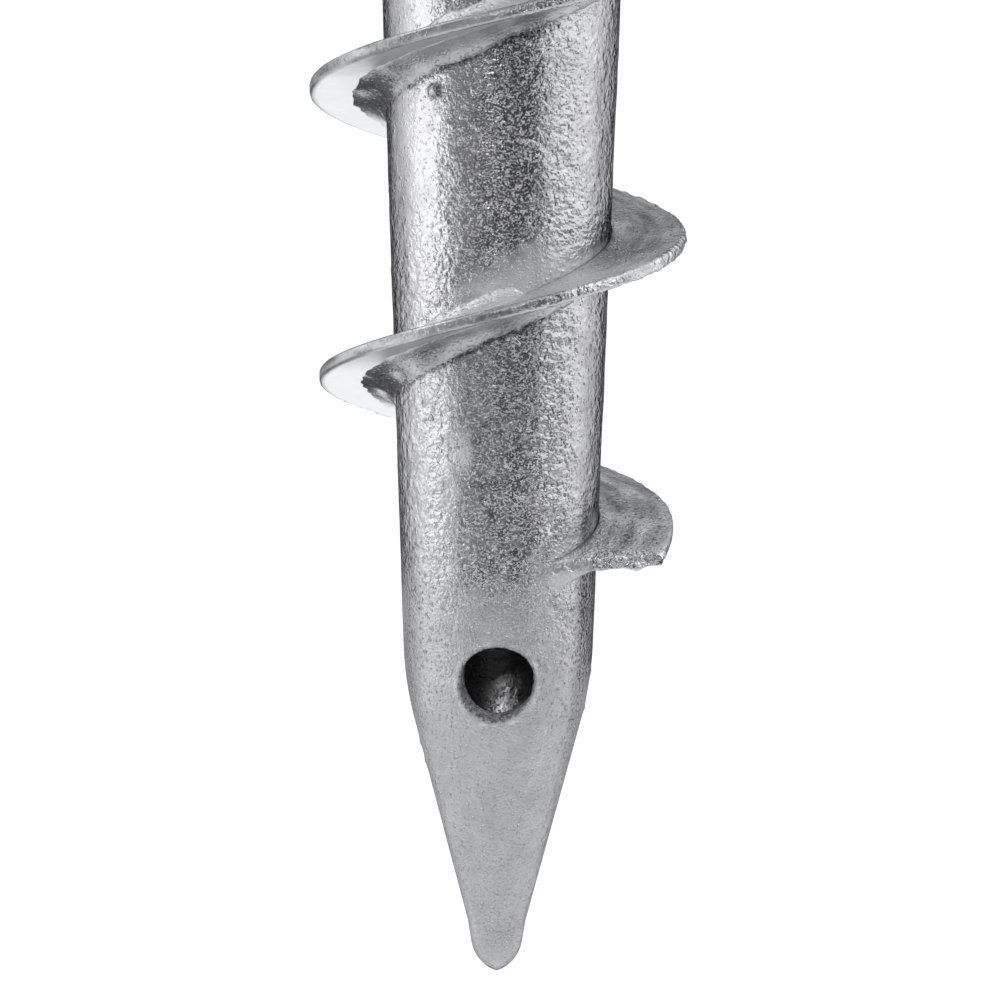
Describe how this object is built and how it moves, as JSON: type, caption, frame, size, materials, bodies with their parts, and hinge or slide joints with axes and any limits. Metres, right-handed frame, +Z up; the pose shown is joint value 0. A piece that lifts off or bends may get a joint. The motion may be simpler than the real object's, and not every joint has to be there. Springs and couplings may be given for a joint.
{
  "type": "ground screw post anchor",
  "caption": "Galvanised tapered steel ground screw with a right-hand helical flight, conical tip and drain hole, and a U-shaped saddle for a square post",
  "frame": {"origin": "centre of the bounding box's base, on the ground that the anchor lies on", "axes": "+Y along the shaft from the tip towards the head, +Z up; the anchor lies on its flight and saddle with the drain hole on top"},
  "size_m": [0.0982, 0.8006, 0.1104],
  "materials": {
    "galvanised_tube": "hot-dip galvanised, bumpy zinc skin",
    "galvanised_plate": "hot-dip galvanised, with zinc runs and lumpy edges",
    "galvanised_weld": "rippled weld under zinc"
  },
  "bodies": {
    "root": {"shaft_tube": "galvanised_tube", "helical_flight": "galvanised_plate", "flight_weld_under": "galvanised_weld", "flight_weld_top": "galvanised_weld", "post_saddle": "galvanised_plate", "saddle_weld": "galvanised_weld"}
  },
  "joints": []
}
